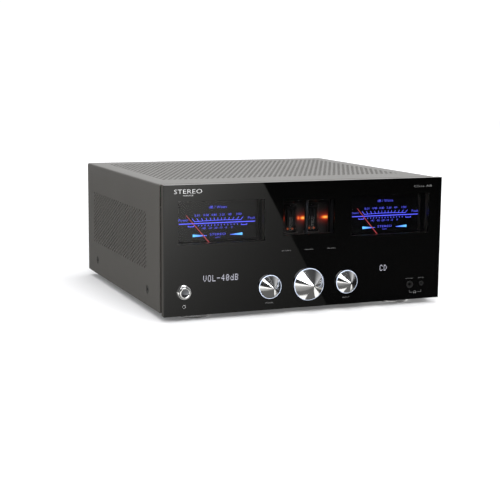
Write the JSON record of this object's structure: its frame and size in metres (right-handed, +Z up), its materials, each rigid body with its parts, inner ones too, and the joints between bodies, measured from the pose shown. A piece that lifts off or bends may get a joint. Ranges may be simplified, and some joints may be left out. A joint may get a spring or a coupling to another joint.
{
  "type": "integrated amplifier",
  "caption": "Integrated hi-fi amplifier: black glass front with pointer meters, a valve window, displays and turned knobs, perforated grey cover, rear sockets.",
  "frame": {"origin": "centre of the bounding box, on the surface that the feet stand on", "axes": "+X to the right seen from the front, +Y from the front panel to the back, +Z up"},
  "size_m": [0.43, 0.45, 0.188],
  "materials": {
    "cover_paint": "warm dark grey textured paint",
    "chassis_steel": "black painted sheet steel",
    "frame_aluminium": "fine brushed, grey anodised",
    "front_acrylic": "polished black acrylic with clear windows",
    "meter_plastic": "matt black",
    "dial_face": "dark blue, lit from behind",
    "movement_steel": "plain",
    "needle_red": "red lacquer",
    "socket_ceramic": "glazed",
    "tube_glass": "clear",
    "tube_metal": "dull grey",
    "display_glass": "dark tinted",
    "lamp_amber": "translucent",
    "board_green": "solder resist",
    "encoder_metal": "plain",
    "shaft_steel": "ground",
    "knob_aluminium": "spun and polished",
    "switch_black": "moulded",
    "jack_nickel": "nickel plated",
    "foot_silver": "turned, bright edge",
    "pad_rubber": "soft",
    "screw_black": "black oxide",
    "screw_zinc": "zinc plated",
    "winding": "lacquered copper winding on an iron core, wrapped in film",
    "clamp_steel": "zinc plated",
    "capacitor_sleeve": "shrink sleeve",
    "heatsink_black": "black anodised",
    "transistor_black": "moulded epoxy",
    "standoff_brass": "plain",
    "socket_gold": "gold plated",
    "socket_black": "moulded",
    "cap_red": "clear-coated moulding",
    "cap_black": "clear-coated moulding",
    "terminal_nickel": "nickel plated",
    "cable_grey": "ribbon"
  },
  "bodies": {
    "chassis": {"chassis_tray": "chassis_steel", "rear_panel": "chassis_steel", "top_cover": "cover_paint", "front_frame": "frame_aluminium", "front_glass": "front_acrylic", "front_subpanel": "chassis_steel", "meter_housings": "meter_plastic", "meter_dials": "dial_face", "meter_movements": "movement_steel", "tube_window_frame": "meter_plastic", "tube_bracket": "chassis_steel", "tube_sockets": "socket_ceramic", "tube_envelopes": "tube_glass", "tube_cores": "tube_metal", "left_display": "display_glass", "right_display": "display_glass", "indicator_leds": "lamp_amber", "control_board": "board_green", "encoders": "encoder_metal", "power_bezel": "knob_aluminium", "power_switch": "switch_black", "headphone_jack": "jack_nickel", "aux_jack": "jack_nickel", "foot_rings": "foot_silver", "foot_pads": "pad_rubber", "foot_screws": "screw_zinc", "cover_screws": "screw_black", "rear_screws": "screw_black", "transformer": "winding", "transformer_clamp": "clamp_steel", "filter_capacitors": "capacitor_sleeve", "supply_board": "board_green", "amp_boards": "board_green", "heatsinks": "heatsink_black", "output_transistors": "transistor_black", "board_standoffs": "standoff_brass", "input_board": "board_green", "rca_sockets": "socket_gold", "xlr_sockets": "socket_black", "digital_sockets": "socket_black", "speaker_terminals": "socket_gold", "ground_terminal": "terminal_nickel", "mains_inlet": "switch_black", "mains_switch": "switch_black", "ribbon_cable": "cable_grey"},
    "volume": {"volume_shaft": "shaft_steel", "volume_knob": "knob_aluminium"},
    "mode": {"mode_shaft": "shaft_steel", "mode_knob": "knob_aluminium"},
    "input": {"input_shaft": "shaft_steel", "input_knob": "knob_aluminium"},
    "power": {"power_button": "knob_aluminium"},
    "left_pointer": {"left_needle": "needle_red"},
    "right_pointer": {"right_needle": "needle_red"},
    "rocker": {"mains_rocker": "switch_black"},
    "post_1": {"post_cap_1": "cap_black"},
    "post_2": {"post_cap_2": "cap_red"},
    "post_3": {"post_cap_3": "cap_black"},
    "post_4": {"post_cap_4": "cap_red"},
    "nut": {"ground_nut": "terminal_nickel"}
  },
  "joints": [
    {"name": "volume_turn", "type": "hinge", "parent": "chassis", "child": "volume", "pos_m": [0, -0.2, 0.0412], "axis": [0, 1, 0], "continuous": true},
    {"name": "mode_turn", "type": "hinge", "parent": "chassis", "child": "mode", "pos_m": [-0.06, -0.2, 0.0412], "axis": [0, 1, 0], "continuous": true},
    {"name": "input_turn", "type": "hinge", "parent": "chassis", "child": "input", "pos_m": [0.06, -0.2, 0.0412], "axis": [0, 1, 0], "continuous": true},
    {"name": "power_press", "type": "slide", "parent": "chassis", "child": "power", "axis": [0, 1, 0], "range_m": [0, 0.0015], "stiffness_N_per_m": 500, "springref_m": -0.001},
    {"name": "left_needle_swing", "type": "hinge", "parent": "chassis", "child": "left_pointer", "pos_m": [-0.131, -0.19, 0.09], "axis": [0, 1, 0], "range_deg": [0, 82], "stiffness_Nm_per_rad": 0.0002, "springref_deg": -11.46},
    {"name": "right_needle_swing", "type": "hinge", "parent": "chassis", "child": "right_pointer", "pos_m": [0.131, -0.19, 0.09], "axis": [0, 1, 0], "range_deg": [0, 82], "stiffness_Nm_per_rad": 0.0002, "springref_deg": -11.46},
    {"name": "mains_rocker_tilt", "type": "hinge", "parent": "chassis", "child": "rocker", "pos_m": [0.165, 0.2005, 0.104], "axis": [1, 0, 0], "range_deg": [-16, 0]},
    {"name": "post_1_unscrew", "type": "hinge", "parent": "chassis", "child": "post_1", "pos_m": [-0.078, 0.215, 0.062], "axis": [0, 1, 0], "range_deg": [0, 1080]},
    {"name": "post_2_unscrew", "type": "hinge", "parent": "chassis", "child": "post_2", "pos_m": [-0.046, 0.215, 0.062], "axis": [0, 1, 0], "range_deg": [0, 1080]},
    {"name": "post_3_unscrew", "type": "hinge", "parent": "chassis", "child": "post_3", "pos_m": [0.046, 0.215, 0.062], "axis": [0, 1, 0], "range_deg": [0, 1080]},
    {"name": "post_4_unscrew", "type": "hinge", "parent": "chassis", "child": "post_4", "pos_m": [0.078, 0.215, 0.062], "axis": [0, 1, 0], "range_deg": [0, 1080]},
    {"name": "ground_nut_unscrew", "type": "hinge", "parent": "chassis", "child": "nut", "pos_m": [-0.196, 0.21, 0.112], "axis": [0, 1, 0], "range_deg": [0, 1080]}
  ]
}
